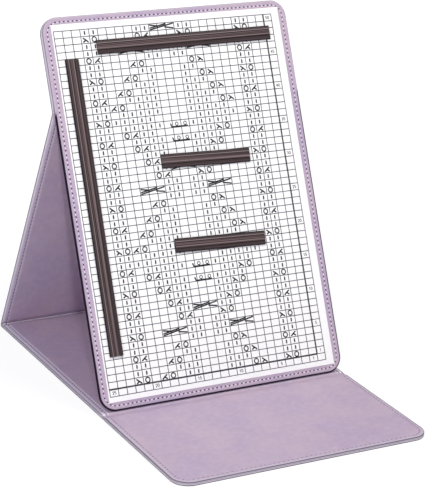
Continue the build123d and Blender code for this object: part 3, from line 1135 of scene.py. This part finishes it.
# %% The grid
columns, rows = 25, 50
cell_wide, cell_high = 7.9, 5.945
grid_left, grid_top = 1.6, 5.7
grid_right = grid_left + (columns + 1) * cell_wide
number_row = 6.0
grid_foot = grid_top + rows * cell_high + number_row
heavy_at = grid_left + columns * cell_wide
heavy_down = grid_top + rows * cell_high

thin_line, heavy_line = 0.66, 1.4
line_top, heavy_top, symbol_top = 0.02 * MM, 0.028 * MM, 0.035 * MM
thin = [[at, grid_top, at, grid_foot] for at in grid_left + cell_wide * np.arange(columns + 2)]
downs = (*(grid_top + cell_high * np.arange(rows + 1)), grid_foot)
thin += [[grid_left, down, grid_right, down] for down in downs]
heavy = [[heavy_at, grid_top, heavy_at, heavy_down], [grid_left, heavy_down, heavy_at, heavy_down]]
thin_bars = strokes(np.array(thin), thin_line, line_top)
heavy_bars = strokes(np.array(heavy), heavy_line, heavy_top)
printed("print_grid", line_ink, [thin_bars, heavy_bars])

# %% [markdown]
# ### The pattern
#
# The pattern is generic and made by rule. Two ladders climb at the sides. Between them a lozenge
# widens and narrows by one column every second row, with plain stitches along its inside, and cables
# cross where it is widest.

# %% The pattern's cells
def lozenge(row):
    """The lozenge's half width in columns at a row: a triangle wave."""
    return 2 + abs((row + 4) % 20 - 10) // 2


cells_of = {kind: [] for kind in ("ring", "lambda", "mirrored", "tick", "cross", "small", "bracket")}
middle_column = 12
for row in range(rows):
    for left in (3, 21):
        first, second = {0: ("lambda", "ring"), 3: ("ring", "mirrored")}.get(row % 6, ("tick", "tick"))
        cells_of[first].append((left, row))
        cells_of[second].append((left + 1, row))
    reach = lozenge(row)
    widening = lozenge(row + 2) > reach
    if row % 2 == 0 and 2 < reach < 7:
        cells_of["ring"] += [(middle_column - reach, row), (middle_column + reach, row)]
        inward = 1 if widening else -1
        cells_of["mirrored"].append((middle_column - reach + inward, row))
        cells_of["lambda"].append((middle_column + reach - inward, row))
        ticks = []
    else:
        ticks = [0, 1]
    ticks += [off for off in range(2, 4 if widening else 5) if reach - off > 1]
    cells_of["tick"] += [(middle_column + way * (reach - off), row) for off in ticks for way in (-1, 1)]
    if row % 20 == 6:
        cells_of["cross"] += [(middle_column - 4, row), (middle_column + 4, row), (middle_column, row + 3)]
    if row % 20 in (13, 15):
        cells_of["small"] += [(middle_column, row), (middle_column + 1, row)]
        cells_of["bracket"].append((middle_column, row))

# %% Ink the symbols and the numbers
bar_width = 1.25
ring_radius, ring_width = 2.15, 1.1
small_radius, small_width = 1.4, 0.75
bars_of = {
    "tick": [(0.05, -1.45, -0.05, 1.45)],
    "lambda": [(-2.1, -1.7, 2.3, 1.9), (0.2, 0.1, -2.1, 1.8)],
    "mirrored": [(2.1, -1.7, -2.3, 1.9), (-0.2, 0.1, 2.1, 1.8)],
    "cross": [(-11, 2.1, 11, -2.1), (-11, 0.6, 4, -2.1), (-11, -2.0, -3, -0.6), (3, 0.6, 11, 2.0)],
    "bracket": [(-5, 2.3, 10, 2.3), (-5, 2.3, -5.8, -0.5)],
}


def cell_middles(kind):
    """The middles of the cells with one kind of symbol."""
    found = np.array(cells_of[kind], float) + 0.5
    return np.stack([grid_left + found[:, 0] * cell_wide, heavy_down - found[:, 1] * cell_high], -1)


bars = [
    (np.tile(cell_middles(kind), 2)[:, None, :] + np.array(shape, float)).reshape(-1, 4)
    for kind, shape in bars_of.items()
]
symbols = [
    strokes(np.vstack(bars), bar_width, symbol_top),
    rings(cell_middles("ring"), ring_radius, ring_width, symbol_top),
    rings(cell_middles("small"), small_radius, small_width, symbol_top),
]
printed("print_symbols", bold_ink, symbols)

digit_paths = {
    "0": [(0, 0.3), (0.3, 0), (0.7, 0), (1, 0.3), (1, 0.7), (0.7, 1), (0.3, 1), (0, 0.7), (0, 0.3)],
    "1": [(0.2, 0.75), (0.6, 1), (0.6, 0)],
    "2": [(0, 0.75), (0.3, 1), (0.7, 1), (1, 0.75), (0.9, 0.5), (0, 0), (1, 0)],
    "3": [(0, 0.9), (0.5, 1), (0.9, 0.8), (0.45, 0.52), (1, 0.3), (0.5, 0), (0, 0.1)],
    "4": [(0.75, 0), (0.75, 1), (0, 0.3), (1, 0.3)],
    "5": [(0.9, 1), (0.1, 1), (0.05, 0.55), (0.6, 0.62), (1, 0.33), (0.7, 0.02), (0, 0.08)],
}
number_high, number_wide, number_line = 2.4, 1.3, 0.45


def number_strokes(number, x, down):
    """A number's strokes round a middle point."""
    word = str(number)
    found = []
    for place, digit in enumerate(word):
        left = x + (place - len(word) / 2) * (number_wide + 0.6) + 0.3
        path = np.array(digit_paths[digit], float)
        at = np.stack([left + number_wide * path[:, 0], down + number_high * (0.5 - path[:, 1])], -1)
        found.append(np.hstack([at[:-1], at[1:]]))
    return np.vstack(found)


number_bars = [
    number_strokes(number, heavy_at - (number - 0.5) * cell_wide, heavy_down + number_row / 2)
    for number in (1, *range(5, columns + 1, 5))
] + [
    number_strokes(number, heavy_at + 0.5 * cell_wide, heavy_down - (number - 0.5) * cell_high)
    for number in (1, *range(5, rows + 1, 5))
]
printed("print_numbers", line_ink, [strokes(np.vstack(number_bars), number_line, symbol_top)])
print("the chart has", {kind: len(found) for kind, found in cells_of.items()})

# %% [markdown]
# ## Camera, light and floor
#
# The camera's place and lens were worked out from the straight edges of the board and the chart. The
# light is a soft sky with three lamps: a large one high in front, a weaker one at the left, and one
# near the camera that is small, so that the board throws a sharp shadow on the strut. The floor is
# white to the camera but still takes the holder's shadow.

# %% The camera
azimuth, elevation, roll = math.radians(-28.86), math.radians(19.65), math.radians(2.44)
aim = np.array([-19.12, -40.63, 139.32]) * MM
distance = 1611.19 * MM
lens_pixels, picture_pixels = 1982.24, 426
level_way = math.cos(elevation)
back = np.array([math.sin(azimuth) * level_way, -math.cos(azimuth) * level_way, math.sin(elevation)])
right = unit(np.cross(-back, upright))
over = np.cross(right, -back)
right, over = math.cos(roll) * right + math.sin(roll) * over, math.cos(roll) * over - math.sin(roll) * right

camera_data = bpy.data.cameras.new("camera")
camera_data.sensor_fit = "HORIZONTAL"
camera_data.sensor_width = 36
camera_data.lens = 36 * lens_pixels / picture_pixels
camera_data.clip_end = 50
print("the lens is", round(camera_data.lens, 1), "mm long")
camera = new_object("camera", camera_data)
placed = np.eye(4)
placed[:3] = np.stack([right, over, back, aim + distance * back], -1)
camera.matrix_world = Matrix(placed.tolist())
bpy.context.scene.camera = camera

# %% The light and the floor
scene = bpy.context.scene
scene.view_settings.view_transform = "Standard"

world = bpy.data.worlds.new("studio")
world.use_nodes = True
scene.world = world
nodes, links = world.node_tree.nodes, world.node_tree.links
sky = nodes["Background"]
sky.inputs["Color"].default_value = (0.73, 0.77, 1.0, 1)
sky.inputs["Strength"].default_value = 0.36
blank = nodes.new("ShaderNodeBackground")
blank.inputs["Color"].default_value = (1, 1, 1, 1)
rays = nodes.new("ShaderNodeLightPath")
chosen = nodes.new("ShaderNodeMixShader")
links.new(rays.outputs["Is Camera Ray"], chosen.inputs["Fac"])
links.new(sky.outputs["Background"], chosen.inputs[1])
links.new(blank.outputs["Background"], chosen.inputs[2])
links.new(chosen.outputs["Shader"], nodes["World Output"].inputs["Surface"])


holder_middle = Vector((0, 0, 0.12))


def lamp(name, place, size, power, tint):
    """A square area lamp that faces the holder's middle."""
    data = bpy.data.lights.new(name, "AREA")
    data.color = tint
    data.size = size
    data.energy = power
    made = new_object(name, data)
    made.location = place
    print(name, "gives", power, "W")
    made.rotation_euler = (holder_middle - Vector(place)).to_track_quat("-Z", "Y").to_euler()


lamp("key_lamp", (0.65, -0.75, 1.95), 0.7, 21.4, (1.0, 0.97, 0.89))
lamp("side_lamp", (-1.15, -0.35, 1.0), 0.5, 6.5, (1.0, 0.95, 0.99))
lamp("low_lamp", (-0.69, -1.47, 0.6), 0.06, 6.5, (0.92, 0.9, 1.0))

floor_mesh = bpy.data.meshes.new("floor")
floor_mesh.from_pydata([(-4, -4, 0), (4, -4, 0), (4, 4, 0), (-4, 4, 0)], [], [(0, 1, 2, 3)])
floor = new_object("floor", floor_mesh)
paint = Finish("floor_paint", (0.9, 0.9, 0.9, 1), 1.0)
from_middle = paint.node("VectorMath", operation="LENGTH")
paint.join(paint.place(), from_middle.inputs[0])
whiteness = paint.node("Math", operation="MULTIPLY")
paint.join(paint.spread(from_middle.outputs["Value"], 0.35, 1.0, 0.8, 1.0), whiteness.inputs[0])
paint.join(paint.node("LightPath").outputs["Is Camera Ray"], whiteness.inputs[1])
chosen = paint.node("MixShader")
paint.join(whiteness.outputs["Value"], chosen.inputs[0])
paint.join(paint.shader.outputs["BSDF"], chosen.inputs[1])
paint.join(paint.node("Emission", strength=1.1).outputs["Emission"], chosen.inputs[2])
paint.join(chosen.outputs["Shader"], paint.tree.nodes["Material Output"].inputs["Surface"])
floor_mesh.materials.append(paint.material)
floor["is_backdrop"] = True

# %% [markdown]
# ## Finish
#
# The sizes before and after dressing are written down, so that it shows how far the leather and the
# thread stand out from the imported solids.

# %% Write the sizes and finish
dressed_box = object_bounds()
sizes = {
    "packed": [list(corner) for corner in cad_box],
    "dressed": [list(corner) for corner in dressed_box],
}
for label, (low, high) in sizes.items():
    print(label, [round((b - a) / MM, 2) for a, b in zip(low, high)], "mm")
